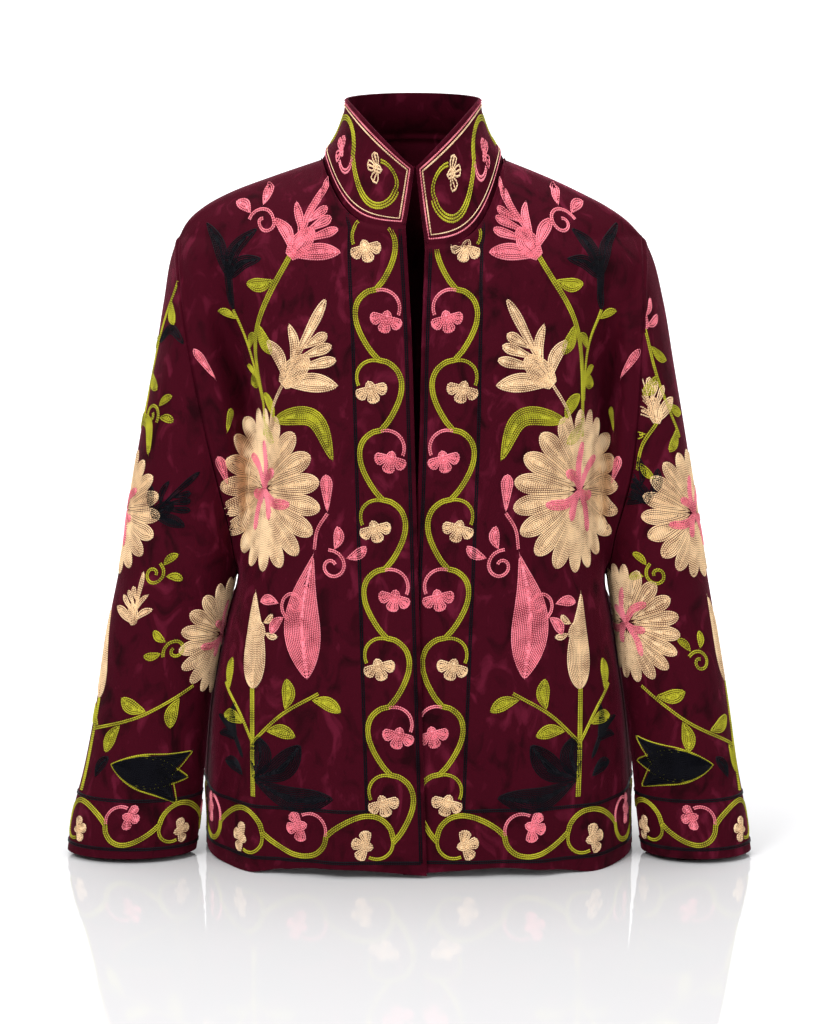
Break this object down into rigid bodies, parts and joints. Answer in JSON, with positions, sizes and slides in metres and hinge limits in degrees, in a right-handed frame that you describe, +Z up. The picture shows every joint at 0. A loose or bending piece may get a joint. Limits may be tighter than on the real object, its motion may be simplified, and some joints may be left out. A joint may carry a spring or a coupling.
{
  "type": "embroidered velvet jacket",
  "caption": "Open-front velvet jacket with a stand collar and long dropped sleeves, filled out as worn, hollow inside.",
  "frame": {"origin": "middle of the neck base, level with the points where the shoulder seams meet the collar", "axes": "+Z up the wearer, -Y out of the front, +X towards the wearer's left"},
  "size_m": [0.65, 0.2584, 0.7169],
  "materials": {
    "velvet": "short-pile cotton velvet, soft sheen"
  },
  "bodies": {
    "root": {"front_right": "velvet", "front_left": "velvet", "back": "velvet", "sleeve_right": "velvet", "sleeve_left": "velvet", "collar": "velvet"}
  },
  "joints": []
}
